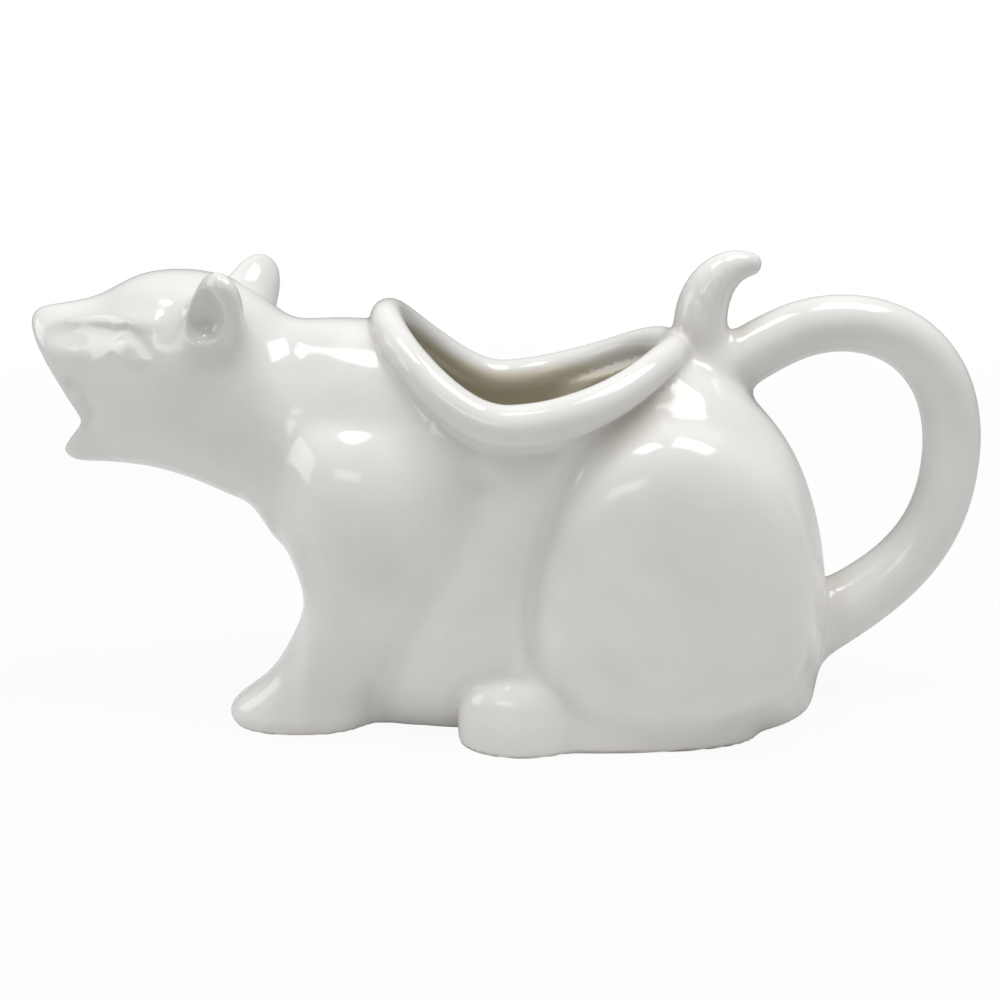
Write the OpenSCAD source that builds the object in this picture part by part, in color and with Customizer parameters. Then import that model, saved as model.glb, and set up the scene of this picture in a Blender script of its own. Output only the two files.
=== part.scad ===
// Cat milk jug: a hollow glazed body that is filled through the back, pours
// through the open mouth and is held by the looped tail. The cat faces -X and
// the origin is on the table, under the middle of the filling mouth.

/* [Body] */
// Length of the body from the neck joint to the rump
body_l = 106.5; // [98:0.5:122]
// Height of the back above the table
back_h = 76.2; // [68:0.2:88]
// Width across the flanks
flank_w = 56; // [51:1:68]
// Thickness of the fired wall
wall = 3.6; // [2.8:0.1:4.6]
// Height of the point of the rump above the table
rump_h = 8; // [5:0.5:14]
// How far the thigh stands out of the flank
thigh_bulge = 3.5; // [2:0.25:6]
// Length of the thigh
thigh_l = 52; // [46:1:60]
// Distance of the thigh's middle from the rump
thigh_back = 35; // [28:0.5:36]
// Height of the thigh's upper edge above the table
thigh_h = 62; // [54:1:66]

/* [Neck and head] */
// Width of the neck at its joint
neck_w = 37; // [32:1:43]
// Height of the neck at its joint
neck_h = 50; // [44:0.5:56]
// Rise of the nape above the back
nape_rise = 2.4; // [0.4:0.2:5]
// Length of the head from the neck joint to the nose
head_l = 48; // [42:0.5:58]
// Width across the cheeks
head_w = 36; // [31:0.5:42]
// Rise of the crown above the back
crown_rise = 10.6; // [7:0.2:13]
// Drop of the nose below the crown
nose_drop = 11.8; // [9:0.2:15]
// Depth of the head from the crown to the chin
head_h = 37.2; // [33:0.2:42]
// Width of the muzzle
muzzle_w = 20; // [17:0.5:24]
// Length of the mouth from the nose to its corner
mouth_l = 10.2; // [7.6:0.2:12]
// Height of the mouth's corner above the chin
mouth_h = 9.8; // [8:0.2:12]

/* [Ears] */
// Length of an ear above its foot
ear_h = 12.5; // [9:0.5:15]
// Width of an ear at its foot
ear_w = 11.4; // [9:0.2:14]
// Thickness of an ear at its foot
ear_d = 8.4; // [6:0.2:10]
// Distance between the middles of the ears' feet
ear_gap = 24.5; // [21.5:0.5:27.5]
// Distance of the ears' middles from the neck joint
ear_ahead = 9.8; // [7:0.2:13]
// Drop of the ears' feet below the crown
ear_drop = 8; // [6:0.2:10]
// Lean of the ears away from each other in degrees
ear_lean = 38; // [26:1:48]
// How far an ear's tip is swept back from its foot
ear_sweep = 2.6; // [0:0.2:5]

/* [Legs] */
// Length of a forepaw
forepaw_l = 29; // [25:0.2:32]
// Width of a forepaw
forepaw_w = 15.6; // [13:0.2:18]
// Height of a forepaw at its wrist
forepaw_h = 12; // [10:0.2:15]
// Distance of the left toes from the neck joint
toe_ahead = 11.5; // [8:0.5:15]
// How far the right forepaw stands behind the left one
stride = 10; // [0:0.5:14]
// Height of the shoulders above the table
shoulder_h = 60; // [54:0.5:66]
// Distance of the left shin's middle behind the neck joint
shin_back = 11.5; // [9.5:0.5:13.5]
// How far the outer side of a forepaw stays inside the chest's skin
foreleg_inset = 1.5; // [0.8:0.1:2]
// Distance of the shoulders' middles behind the neck joint
shoulder_back = 18; // [15:0.5:21]
// Half width of a shoulder
shoulder_w = 13; // [11.5:0.25:14.5]
// How far a shoulder stands out of the chest
shoulder_bulge = 3.5; // [2:0.25:5]
// Distance of the hind paws' middles ahead of the thighs
hindpaw_ahead = 0.6; // [0:0.2:6]
// How far a hind paw stands out of the flank
hindpaw_out = 2; // [1:0.2:4]
// Length of a hind paw
hindpaw_l = 21.6; // [18:0.2:25]
// Width of a hind paw
hindpaw_w = 15; // [13:0.2:18]
// Height of a hind paw
hindpaw_h = 18.4; // [14:0.2:21]

/* [Filling mouth] */
// Length of the filling mouth between the middles of its rim
fill_l = 53.6; // [45:0.2:57]
// How far the middle of the rim stays inside the flank
fill_inset = 3.8; // [3.2:0.2:8]
// Diameter of the rolled rim
rim_d = 8.4; // [7.8:0.2:10]

/* [Tail] */
// Diameter of the tail at its loop
tail_d = 10.8; // [8:0.2:13]
// Diameter of the tail at its lower root
tail_root_d = 15; // [12:0.5:18]
// Reach of the loop behind the rump
loop_reach = 29.7; // [25:0.1:38]
// Clear length from the rim to the middle of the tail's upper root
tail_clear = 2.5; // [2.2:0.1:6]
// Height of the loop's top above the back
loop_rise = 5.8; // [2:0.2:10]
// Height of the middle of the lower root above the table
tail_low_h = 13; // [11:0.5:20]
// Height of the thumb rest's tip above the back
thumb_rise = 14; // [11:0.2:20]
// Reach of the thumb rest's tip behind its foot
thumb_reach = 8; // [5:0.2:12]
// Diameter of the thumb rest at its foot
thumb_d = 10.8; // [9.2:0.2:12.2]
// Diameter of the thumb rest at its tip
thumb_tip_d = 4.4; // [3.4:0.2:5.8]

/* [Hidden] */
glaze = "ivory";

// Facets round and along the forms
shell_sides = 44;
body_steps = 52;
cavity_steps = 30;
head_steps = 32;
throat_steps = 24;
limb_sides = 24;
limb_steps = 14;
leg_steps = 20;
tube_sides = 16;
rim_steps = 64;
tail_steps = 16;

// Angle at which a rounded end is closed by a flat
pole = 88;

// Places along the jug
neck_ahead = 47.5;
crest_ahead = 10;
neck_x = -neck_ahead;
crest_x = -crest_ahead;
belly_x = 10;
rump_x = neck_x + body_l;
nose_x = neck_x - head_l;
chest_l = 12;
neck_blend = 20;
tuck_x = -14;
flank_blend = 28;
rump_blend = 20;
saddle_x = 2;
saddle_l = 12;
thigh_x = rump_x - thigh_back;
thigh_z = 24;
thigh_drop = 22;
foot_lead = 12;
foot_x = thigh_x - foot_lead;
foot_l = 31;
foot_ahead = 18;

// Heights that several pieces share
nape_z = back_h + nape_rise;
throat_z = nape_z - neck_h;
crown_z = back_h + crown_rise;
chin_z = crown_z - head_h;
nose_z = crown_z - nose_drop;
sink = 9;
foot_h = 11;

// Half widths in which the thighs and the hind feet start, the feet's reach and the fillet between them
thigh_in = 0.2 * flank_w;
foot_in = 0.35 * flank_w;
foot_out = 0.4;
fillet = 5;

// Roundness of the sections: 2 is an ellipse and more is squarer
neck_round = 2.15;
chest_round = 2.45;
back_round = 2.5;
saddle_round = 0.45;
haunch_round = 4.5;
rump_low_round = 1.7;
rump_round = 2.75;
plan_round = 2.7;
thigh_round = 3;
foot_round = 2.5;

function mix(a, b, u) = a + (b - a) * u;

// Smooth step from 0 to 1
function ease(u) = let (v = max(0, min(1, u))) v * v * (3 - 2 * v);

// Quarter of a rounded outline: 1 at 0 and 0 at 1
function dome(u, n) = let (v = max(0, min(1, u))) pow(1 - pow(v, n), 1 / n);

function signed_pow(v, p) = sign(v) * pow(abs(v), p);

// Slope of a smooth line through points at one of them
function slope(p, i) =
    let (a = max(0, i - 1), b = min(len(p) - 1, i + 1)) (p[b][1] - p[a][1]) / (p[b][0] - p[a][0]);

// Smooth line through points [place, value], read at a place
function through(p, u, i = 0) =
    i < len(p) - 2 && u > p[i + 1][0] ? through(p, u, i + 1) :
    let (w = p[i + 1][0] - p[i][0], t = (u - p[i][0]) / w, s = 1 - t)
    p[i][1] * (1 + 2 * t) * s * s + p[i + 1][1] * t * t * (3 - 2 * t)
    + w * (slope(p, i) * t * s * s - slope(p, i + 1) * t * t * s);

// Lines of the body at x, drawn in by an inset: back, belly and half width
function back_line(x, inset) =
    x > crest_x ?
    mix(rump_h, back_h - inset, dome((x - crest_x) / (rump_x - inset - crest_x), rump_round)) :
    back_h - inset + nape_rise * pow((x - crest_x) / (neck_x - crest_x), 8);

function belly_line(x, inset) =
    mix(throat_line(0, inset), -sink + inset, sin(90 * min(1, (x - neck_x) / (chest_l + inset))));

function flank_line(x, inset) =
    x > belly_x ? (flank_w / 2 - inset) * dome((x - belly_x) / (rump_x - inset - belly_x), plan_round) :
    mix(flank_w / 2, neck_w / 2, pow((belly_x - x) / (belly_x - neck_x), 2.3)) - inset;

// Height of the brow at a share of the drop from the crown to the nose
function brow_z(share) = crown_z - share * nose_drop;

// Lines of the head at s, which runs from 0 at the neck joint to 1 at the nose
function crown_line(s, inset) =
    let (line = through([[0, nape_z], [0.1, mix(nape_z, crown_z, 0.46)], [0.22, brow_z(0.12)],
                         [0.45, crown_z], [0.58, brow_z(0.11)], [0.7, brow_z(0.35)],
                         [0.82, brow_z(0.49)], [1, brow_z(0.59)]], s) - inset)
    mix(nose_z, line, dome((s - 0.88) / 0.12, 2.6));

function throat_line(s, inset) =
    let (line = mix(throat_z, chin_z, through([[0, 0], [0.04, 0.22], [0.1, 0.45], [0.21, 0.7],
                                               [0.34, 0.84], [0.48, 0.95], [0.64, 1], [1, 1]], s))
                + inset * mix(2.2, 1, ease(s / 0.25)))
    mix(nose_z, line, dome((s - 0.75) / 0.25, 4));

function cheek_line(s, inset) =
    (through([[0, neck_w / 2], [0.12, mix(neck_w, head_w, 0.7) / 2], [0.25, head_w / 2], [0.42, head_w / 2],
              [0.6, mix(head_w, muzzle_w, 0.42) / 2], [0.8, muzzle_w / 2], [1, muzzle_w * 0.4]], s) - inset)
    * dome((s - 0.86) / 0.14, 2);

// Larger of two half widths, with a fillet where one passes the other
function meet(a, b) = max(a, b) + fillet / 6 * pow(max(0, 1 - abs(a - b) / fillet), 3);

// Half width across the thighs, which lie on the flanks like flat pebbles, and 0 beside them
function thigh_side(x, z) =
    let (half_h = z > thigh_z ? thigh_h - thigh_z : thigh_drop,
         q = norm([(x - thigh_x) / (thigh_l / 2), (z - thigh_z) / half_h]))
    q < 1 ? mix(thigh_in, flank_w / 2 + thigh_bulge, dome(q, thigh_round)) : 0;

// Half width across the hind feet, which run along the ground under the thighs, and 0 beside them
function foot_side(x, z) =
    let (u = (x - foot_x) / (x > foot_x ? foot_l : foot_ahead), q = norm([u, z / foot_h]))
    q < 1 ? mix(foot_in, flank_w / 2 + foot_out, dome(q, foot_round)) : 0;

// Share of a section's height at which it is widest
function widest(x) =
    through([[neck_x, 0.48], [mix(neck_x, belly_x, 0.38), 0.58], [belly_x, 0.47], [rump_x, 0.42]], x);

// Rounded section across x, with its own roundness above and below its widest line
function section(x, top, under, half, up_round, low_round, floor_z, swell) =
    let (mid = mix(under, top, x < neck_x ? widest(neck_x) : widest(x)))
    [for (i = [0 : shell_sides - 1])
        let (a = 360 * (i + 0.5) / shell_sides,
             n = sin(a) > 0 ? up_round : low_round,
             side = signed_pow(cos(a), 2 / n),
             z = max(floor_z, mid + signed_pow(sin(a), 2 / n) * (sin(a) > 0 ? top - mid : mid - under)),
             plain = half * abs(side),
             full = meet(meet(plain, foot_side(x, z)), thigh_side(x, z)))
        [x, sign(side) * (swell && abs(side) > 0.4 ? full : plain), z]];

// Roundness above the widest line, which is squarer under the sides of the filling mouth
function up_round(x) =
    mix(neck_round, back_round, ease((x - neck_x) / neck_blend))
    + saddle_round * exp(-pow((x - saddle_x) / saddle_l, 2));

// Roundness below the widest line: the belly and the rump are tucked in, and the haunch is square
function low_round(x) =
    let (chest = mix(neck_round, chest_round, ease((x - neck_x) / neck_blend)),
         haunch = mix(chest, haunch_round, ease((x - tuck_x) / flank_blend)))
    mix(haunch, rump_low_round, ease((x - rump_x + rump_blend) / rump_blend));

function body_ring(x, inset) =
    section(x, back_line(x, inset), belly_line(x, inset), flank_line(x, inset),
            up_round(x), low_round(x), inset > 0 ? inset : -sink, inset == 0);

function head_ring(s, inset) =
    section(neck_x - s * (head_l - inset), crown_line(s, inset), throat_line(s, inset), cheek_line(s, inset),
            neck_round, neck_round, -sink, false);

// Steps along x that gather towards a rounded end
function gather(u, bend) = sin(pole * pow(u, bend)) / sin(pole) * 0.999;

function body_rings(steps, inset) =
    [for (k = [0 : steps]) body_ring(neck_x + (body_l - inset) * gather(k / steps, 1.1), inset)];

function head_rings(steps, inset) =
    [for (k = [0 : steps]) head_ring(gather(k / steps, 1), inset)];

// Side faces between rings of the same count, the first ring starting at a place in the point list
function skin(rings, sides, start, outward) =
    [for (k = [0 : rings - 2]) for (i = [0 : sides - 1])
        let (a = start + k * sides + i, b = start + k * sides + (i + 1) % sides, c = a + sides, d = b + sides)
        each outward ? [[a, c, b], [b, c, d]] : [[a, b, c], [b, d, c]]];

// Closing face of a ring
function lid(sides, start, outward) =
    [outward ? [for (i = [0 : sides - 1]) start + i] : [for (i = [sides - 1 : -1 : 0]) start + i]];

// Solid through rings, which turn the way that the lofts along it need
module loft(rings, outward = true) {
    sides = len(rings[0]);
    last = (len(rings) - 1) * sides;
    polyhedron(points = [for (r = rings) each r],
               faces = concat(lid(sides, 0, outward), lid(sides, last, !outward),
                              skin(len(rings), sides, 0, outward)));
}

// Hollow form between two lofts that share the plane of their first rings
module hollow(outer, inner, outward) {
    sides = shell_sides;
    inner_start = len(outer) * sides;
    joint = [for (i = [0 : sides - 1])
        let (j = (i + 1) % sides, a = i, b = j, c = inner_start + i, d = inner_start + j)
        each outward ? [[a, b, c], [b, d, c]] : [[a, c, b], [b, c, d]]];
    polyhedron(points = concat([for (r = outer) each r], [for (r = inner) each r]),
               faces = concat(joint,
                              skin(len(outer), sides, 0, outward),
                              lid(sides, inner_start - sides, !outward),
                              skin(len(inner), sides, inner_start, !outward),
                              lid(sides, inner_start + (len(inner) - 1) * sides, outward)));
}

module body_form() loft(body_rings(body_steps, 0));

module head_form() loft(head_rings(head_steps, 0), false);

// Height of the outer skin over a point of the back
function skin_z(x, y) =
    let (top = back_line(x, 0), mid = mix(belly_line(x, 0), top, widest(x)), n = up_round(x))
    mid + (top - mid) * dome(abs(y) / flank_line(x, 0), n);

// Middle of the rolled rim, which lies on the skin of the back
fill_b = flank_w / 2 - fill_inset;

function rim_point(a) = let (x = fill_l / 2 * cos(a), y = fill_b * sin(a)) [x, y, skin_z(x, y)];

function unit(v) = v / norm(v);

// Round section about a point, across a direction that isn't along a given side
function disc(p, along, side, r, sides) =
    let (n = unit(side - along * (side * along)), b = cross(along, n))
    [for (i = [0 : sides - 1]) let (a = 360 * i / sides) p + r * (n * cos(a) + b * sin(a))];

module rim_form() {
    rings = [for (k = [0 : rim_steps - 1])
        let (a = 360 * k / rim_steps)
        disc(rim_point(a), unit(rim_point(a + 1) - rim_point(a - 1)), [0, 0, 1], rim_d / 2, tube_sides)];
    count = rim_steps * tube_sides;
    faces = [for (k = [0 : rim_steps - 1]) for (i = [0 : tube_sides - 1])
        let (a = k * tube_sides + i, b = k * tube_sides + (i + 1) % tube_sides,
             c = (a + tube_sides) % count, d = (b + tube_sides) % count)
        each [[a, c, b], [b, c, d]]];
    polyhedron(points = [for (r = rings) each r], faces = faces);
}

// Ellipse that the rim stands over, cut down through the back
module fill_opening() {
    reach = fill_b + rim_d;
    translate([0, 0, back_h - reach])
        linear_extrude(height = 2 * reach)
            polygon([for (k = [0 : rim_steps - 1])
                let (a = 360 * k / rim_steps) [fill_l / 2 * cos(a), fill_b * sin(a)]]);
}

// Wedge between the lips, with its point at the corner of the mouth
module lip_gap() {
    corner = [nose_x + mouth_l, chin_z + mouth_h];
    reach = head_l;
    upper_lip = 122;
    lower_lip = 226;
    translate([0, head_w / 2, 0])
        rotate([90, 0, 0])
            linear_extrude(height = head_w)
                polygon([corner, corner + reach * [cos(upper_lip), sin(upper_lip)],
                         corner + reach * [cos(lower_lip), sin(lower_lip)]]);
}

// Room below the table, which the flat base leaves out
module under_table() {
    translate([neck_x, -flank_w, -2 * sink])
        cube([2 * body_l, 2 * flank_w, 2 * sink]);
}

module body_shell() {
    color(glaze)
        difference() {
            hollow(body_rings(body_steps, 0), body_rings(cavity_steps, wall), true);
            under_table();
            fill_opening();
            rim_form();
        }
}

module head_spout() {
    color(glaze)
        difference() {
            hollow(head_rings(head_steps, 0), head_rings(throat_steps, wall), false);
            lip_gap();
        }
}

module rolled_rim() {
    color(glaze)
        rim_form();
}

// Ear that leans to one side, hollowed to the front
module ear(side) {
    foot = [neck_x - ear_ahead, side * ear_gap / 2, crown_z - ear_drop];
    root = 0.4 * ear_h;
    rings = [for (k = [0 : limb_steps])
        let (u = mix(-root / ear_h, 0.985, sin(90 * k / limb_steps)), d = dome(u, 2.2))
        [for (i = [0 : limb_sides - 1])
            let (a = 360 * i / limb_sides)
            [ear_w / 2 * d * cos(a) + ear_sweep * max(0, u), ear_d / 2 * d * sin(a), ear_h * u]]];
    difference() {
        translate(foot)
            rotate([-side * ear_lean, 0, 0])
                difference() {
                    loft(rings);
                    translate([-ear_w * 0.24, side * ear_d * 0.5, ear_h * 0.46])
                        ear_cup();
                }
        head_form();
    }
}

module ear_cup() {
    half = [ear_w * 0.3, ear_d * 0.34, ear_h * 0.36];
    cup_steps = 10;
    rings = [for (k = [0 : cup_steps])
        let (v = mix(-pole, pole, k / cup_steps))
        [for (i = [0 : tube_sides - 1])
            let (a = 360 * i / tube_sides)
            [half[0] * cos(v) * cos(a), half[1] * cos(v) * sin(a), half[2] * sin(v)]]];
    loft(rings);
}

module left_ear() {
    color(glaze)
        ear(-1);
}

module right_ear() {
    color(glaze)
        ear(1);
}

// Standing form through level sections [z, middle x, half length, middle y, half width]
module standing(levels) {
    rings = [for (l = levels)
        [for (i = [0 : limb_sides - 1])
            let (a = 360 * i / limb_sides)
            [l[1] + l[2] * signed_pow(cos(a), 0.92), l[3] + l[4] * signed_pow(sin(a), 0.92), l[0]]]];
    loft(rings);
}

// A level section moved to its height
function raised(p, z) = [z, p[1], p[2], p[3], p[4]];

// Level section at a height, from a few given ones
function level(points, z) =
    [z, for (column = [1 : 4]) through([for (p = points) [p[0], p[column]]], z)];

// Foreleg from the flat of its paw to the round of its shoulder
module foreleg(side) {
    l = forepaw_l / 2;
    w = forepaw_w / 2;
    y = side * (flank_line(neck_x + shin_back, 0) - foreleg_inset - w);
    back = side > 0 ? stride : 0;
    paw_x = neck_x - toe_ahead + back + l;
    shin_x = neck_x + shin_back + back / 2;
    top_x = neck_x + shoulder_back;
    calf_x = mix(shin_x, top_x, 0.64);
    shin_y = side * (flank_line(shin_x, 0) - foreleg_inset - w);
    calf_y = side * (flank_line(calf_x, 0) - foreleg_inset - w);
    top_y = side * (flank_line(top_x, 0) + shoulder_bulge - shoulder_w);
    paw = [[0, paw_x, 0.945 * l, y, 0.91 * w], [0.17, paw_x, l, y, w],
           [0.42, paw_x + 0.05 * l, 0.94 * l, y, w], [0.67, paw_x + 0.15 * l, 0.82 * l, y, w],
           [1, mix(paw_x + 0.38 * l, shin_x, 0.2), 0.72 * l, y, 1.06 * w]];
    leg = [[0.1, shin_x, 0.7 * l, shin_y, 1.2 * w], [0.25, calf_x, 0.72 * l, calf_y, 1.44 * w],
           [0.46, top_x, 0.88 * l, top_y, 0.96 * shoulder_w],
           [0.67, top_x, 1.06 * l, top_y, shoulder_w],
           [0.85, top_x, 1.06 * l, top_y, 0.85 * shoulder_w],
           [1, top_x - 0.03 * l, 0.7 * l, top_y, 0.46 * shoulder_w]];
    points = concat([for (p = paw) raised(p, forepaw_h * p[0])],
                    [for (p = leg) raised(p, mix(forepaw_h, shoulder_h, p[0]))]);
    difference() {
        standing([for (k = [0 : leg_steps]) level(points, shoulder_h * pow(k / leg_steps, 1.5))]);
        body_form();
        head_form();
    }
}

module left_foreleg() {
    color(glaze)
        foreleg(-1);
}

module right_foreleg() {
    color(glaze)
        foreleg(1);
}

module hind_paw(side) {
    middle = [thigh_x - thigh_l / 2 - hindpaw_ahead, side * ((flank_w - hindpaw_w) / 2 + hindpaw_out)];
    belly = 0.3;
    difference() {
        standing([for (k = [0 : limb_steps])
            let (u = mix(-belly, 0.99, k / limb_steps), d = dome(abs(u), 2.4))
            [hindpaw_h * (u + belly) / (1 + belly), middle[0] + 0.07 * hindpaw_l * u, hindpaw_l / 2 * d,
             middle[1], hindpaw_w / 2 * d]]);
        body_form();
    }
}

module left_hind_paw() {
    color(glaze)
        hind_paw(-1);
}

module right_hind_paw() {
    color(glaze)
        hind_paw(1);
}

// Point of a curve that leaves its first point and reaches its last along the handles
function curve(p, t) =
    let (s = 1 - t) p[0] * s * s * s + 3 * p[1] * s * s * t + 3 * p[2] * s * t * t + p[3] * t * t * t;

function curve_way(p, t) =
    let (s = 1 - t) unit((p[1] - p[0]) * s * s + 2 * (p[2] - p[1]) * s * t + (p[3] - p[2]) * t * t);

// Rings of a tube in the jug's middle plane, from curves and the radius at each of their ends
function tube_rings(curves, radii, taper, steps) =
    [for (c = [0 : len(curves) - 1]) for (k = [c == 0 ? 0 : 1 : steps])
        let (t = k / steps, p = curve(curves[c], t), w = curve_way(curves[c], t),
             r = mix(radii[c], radii[c + 1], pow(t, taper)))
        disc([p[0], 0, p[1]], [w[0], 0, w[1]], [0, 1, 0], r, tube_sides)];

// Middle line of the tail: its upper root, the top and the back of its loop, and its lower root
root_x = (fill_l + rim_d) / 2 + tail_clear;
root_depth = 3;
tail_root = [root_x, skin_z(root_x, 0) - root_depth];
tail_top = [rump_x + 0.09 * tail_d, back_h + loop_rise - tail_d / 2];
tail_back = [rump_x + loop_reach - tail_d / 2, mix(tail_low_h, back_h + loop_rise, 0.54)];
tail_end = [rump_x - 0.37 * tail_d, tail_low_h];

// Handle length that makes a curve a little fuller than a quarter of an ellipse
round_share = 0.6;

module tail_form() {
    span = tail_top[0] - tail_root[0];
    curves = [[tail_root, tail_root + [0.38 * span, 0.175 * span], tail_top - [0.42 * span, 0], tail_top],
              [tail_top, [mix(tail_top[0], tail_back[0], round_share), tail_top[1]],
               [tail_back[0], mix(tail_back[1], tail_top[1], round_share)], tail_back],
              [tail_back, [tail_back[0], mix(tail_back[1], tail_end[1], 0.52)],
               tail_end + [1.57 * tail_d, 0.87 * tail_d], tail_end]];
    r = tail_d / 2;
    loft(tube_rings(curves, [1.03 * r, r, r, tail_root_d / 2], 2, tail_steps));
}

module tail_handle() {
    color(glaze)
        difference() {
            tail_form();
            body_form();
        }
}

module thumb_form() {
    foot = tail_root + [0, root_depth];
    tip = [foot[0] + thumb_reach, back_h + thumb_rise - thumb_tip_d / 2];
    curves = [[foot, foot + [-0.3 * thumb_d, 0.83 * thumb_d], tip - [0.93 * thumb_reach, 0], tip]];
    end = [tip[0], 0, tip[1]];
    union() {
        loft(tube_rings(curves, [thumb_d / 2, thumb_tip_d / 2], 2.2, tail_steps));
        translate(end)
            sphere(d = thumb_tip_d, $fn = 24);
    }
}

module thumb_rest() {
    color(glaze)
        difference() {
            thumb_form();
            tail_form();
            rim_form();
            body_form();
        }
}

body_shell();
head_spout();
left_ear();
right_ear();
left_foreleg();
right_foreleg();
left_hind_paw();
right_hind_paw();
rolled_rim();
tail_handle();
thumb_rest();
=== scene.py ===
"""Looks of a glazed milk jug in the shape of a crouching cat.

Each part of the jug is written as a distance function in millimetres: p is an array of points, and the
result is below 0 for those inside the part. The parts run into each other with soft fillets, as joints
smoothed with slip do. One grid is laid over the whole jug and each of its points is given to the part
that owns it. So every CAD node gets its own closed piece, and pieces that meet share the points of
their seam.
"""

import math

import bpy
import numpy as np
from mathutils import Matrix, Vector


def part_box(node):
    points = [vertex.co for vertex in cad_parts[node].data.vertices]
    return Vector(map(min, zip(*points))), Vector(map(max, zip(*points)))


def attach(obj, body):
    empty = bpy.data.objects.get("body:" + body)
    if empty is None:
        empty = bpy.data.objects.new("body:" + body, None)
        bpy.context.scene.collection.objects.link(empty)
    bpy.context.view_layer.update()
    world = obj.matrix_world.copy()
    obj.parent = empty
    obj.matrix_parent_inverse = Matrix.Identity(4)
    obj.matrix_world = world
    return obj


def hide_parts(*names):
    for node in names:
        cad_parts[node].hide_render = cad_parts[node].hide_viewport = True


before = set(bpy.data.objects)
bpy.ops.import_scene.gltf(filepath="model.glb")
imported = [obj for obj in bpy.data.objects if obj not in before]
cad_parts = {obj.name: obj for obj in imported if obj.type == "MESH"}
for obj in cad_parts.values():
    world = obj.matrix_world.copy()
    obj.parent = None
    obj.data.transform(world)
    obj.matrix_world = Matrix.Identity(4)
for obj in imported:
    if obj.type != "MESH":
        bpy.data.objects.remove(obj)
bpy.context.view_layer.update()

MM = 0.001
PIECES = ["body_shell", "head_spout", "left_ear", "right_ear", "left_foreleg", "right_foreleg",
          "left_hind_paw", "right_hind_paw", "rolled_rim", "tail_handle", "thumb_rest"]


def node_box(name):
    """Lowest and highest corner of a CAD node in millimetres."""
    low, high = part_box(name)
    return np.array(low) / MM, np.array(high) / MM


BOXES = {name: node_box(name) for name in PIECES}
body_low, body_high = BOXES["body_shell"]
head_low, head_high = BOXES["head_spout"]
ear_low, ear_high = BOXES["right_ear"]
rim_high = BOXES["rolled_rim"][1]
tail_high = BOXES["tail_handle"][1]
thumb_high = BOXES["thumb_rest"][1]

# Mesh: size of its cells, how far round its box a part is worked out, and its distance beyond that
CELL = 1.0
REACH = 10.0
FAR = 10.0

# Wall, rounded edges and fillets
WALL = 3.6
BASE_ROUND = 1.0
CAVITY_ROUND = 1.0
CAVITY_FLOOR_ROUND = 6.0
LIP_ROUND = 2.0
MOUTH_ROUND = 3.0
MUZZLE_ROUND = 5.0
OPENING_ROUND = 2.5
LEG_TOP_ROUND = 8.0
LEG_FILLET = 5.5
PAW_FILLET = 2.2
THIGH_FILLET = 5.0
REAR_FILLET = 18.0
EAR_FILLET = 6.0
CUP_ROUND = 1.6
TAIL_FILLET = 6.0
THUMB_FILLET = 4.5
RIM_FILLET = 2.2

# Rim: radius that places it, radii at its flanks and ends, power of its front half, and its offsets
RIM_R = 4.2
RIM_SIDE_R = 4.0
RIM_END_R = 3.1
RIM_SQUARE = 2.25
RIM_LIFT = 0.9
RIM_INSET = 0.5

# Body: places along it, heights, half widths, and how far it is drawn below the table before it is cut
NECK_X = body_low[0]
RUMP_X = body_high[0]
CREST_X = -10.0
BELLY_X = 10.0
BACK_Z = rim_high[2] - RIM_R
NAPE_Z = body_high[2]
THROAT_Z = head_low[2]
FLANK = 27.4
NECK = 18.5
BELOW_TABLE = 9.0

# Thighs and hind feet on the right, which are mirrored to the left
THIGH_MIDDLE = np.array([26.0, 17.0, 24.0])
THIGH_HALF = np.array([24.0, body_high[1] - 17.05, 37.0])
THIGH_DROP = 22.0
THIGH_BEHIND = 25.0
THIGH_PLAN_POWER, THIGH_OUT_POWER = 3.5, 3
REAR_FROM, REAR_RUN = 8, 18
FOOT_MIDDLE = np.array([12.0, 19.5, 0.0])
FOOT_HALF = np.array([31.0, 9.0, 11.0])
FOOT_AHEAD = 18.0
FOOT_POWER = 2.5

# Head: places, half widths, and the mouth's corner with the directions of its lips in degrees
NOSE_X = head_low[0]
CROWN_Z = head_high[2]
CHIN_Z = CROWN_Z - 37.2
NOSE_Z = CROWN_Z - 11.8
HEAD_L = NECK_X - NOSE_X
CHEEK = 18.0
MUZZLE = 10.0
MOUTH_X, MOUTH_Z = NOSE_X + 11.0, CHIN_Z + 9.8
UPPER_LIP, LOWER_LIP = 122.0, 226.0


def mix(a, b, u):
    """Value at a share u of the way from a to b."""
    return a + (b - a) * u


def ease(u):
    """Soft step that rises from 0 to 1 as u does."""
    v = np.clip(u, 0, 1)
    return v * v * (3 - 2 * v)


def join(a, b, fillet):
    """Union of two distances, with a fillet where they meet."""
    h = np.maximum(fillet - np.abs(a - b), 0) / fillet
    return np.minimum(a, b) - h ** 3 * fillet / 6


def keep(a, b, edge):
    """Common part of two distances, with a rounded edge."""
    return -join(-a, -b, edge)


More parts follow.
